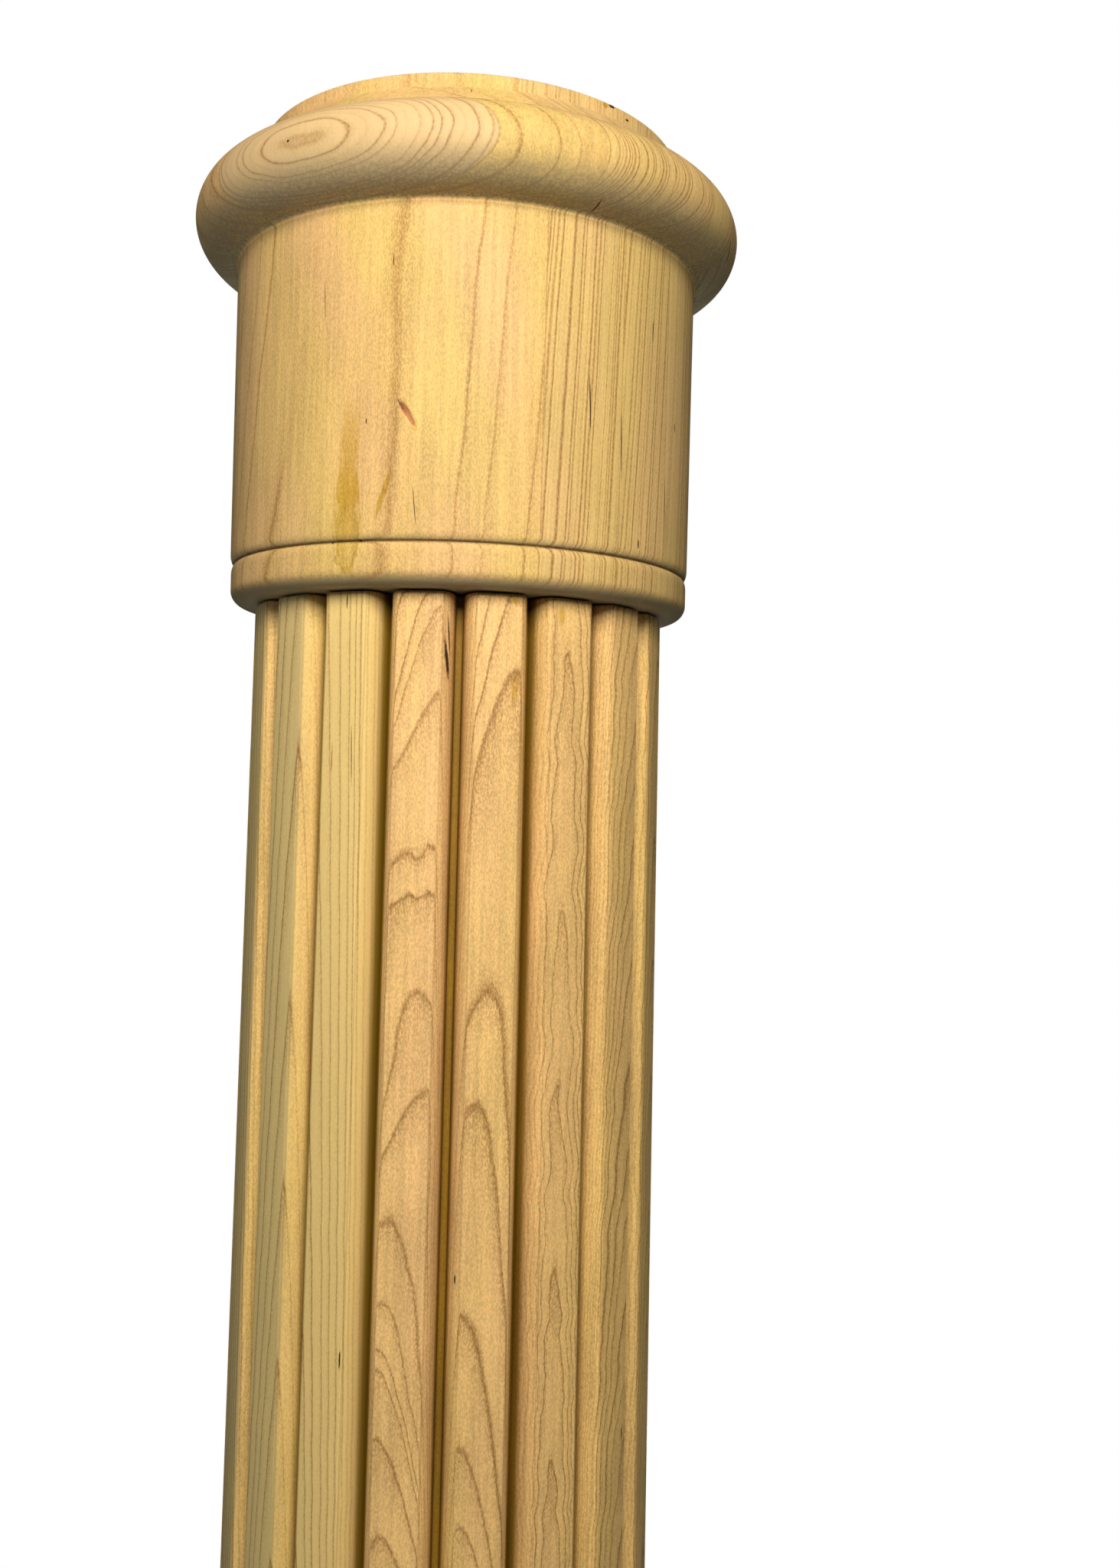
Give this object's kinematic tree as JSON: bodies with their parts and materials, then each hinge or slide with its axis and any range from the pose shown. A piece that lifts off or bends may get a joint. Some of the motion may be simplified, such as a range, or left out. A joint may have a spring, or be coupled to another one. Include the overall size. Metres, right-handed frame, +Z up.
{
  "type": "newel post",
  "caption": "Round newel post of bare pale wood with a tapered reeded shaft, a turned capital with a large ring, and a turned base.",
  "frame": {"origin": "centre of the base's flat underside", "axes": "+Z up along the post's axis; a groove between two reeds faces -Y, the side that the picture shows"},
  "size_m": [0.1758, 0.1758, 1.2194],
  "materials": {
    "bare_wood": "sanded, unfinished pale hardwood with brown growth rings"
  },
  "bodies": {
    "root": {"turned_base": "bare_wood", "reeded_shaft": "bare_wood", "turned_capital": "bare_wood"}
  },
  "joints": []
}
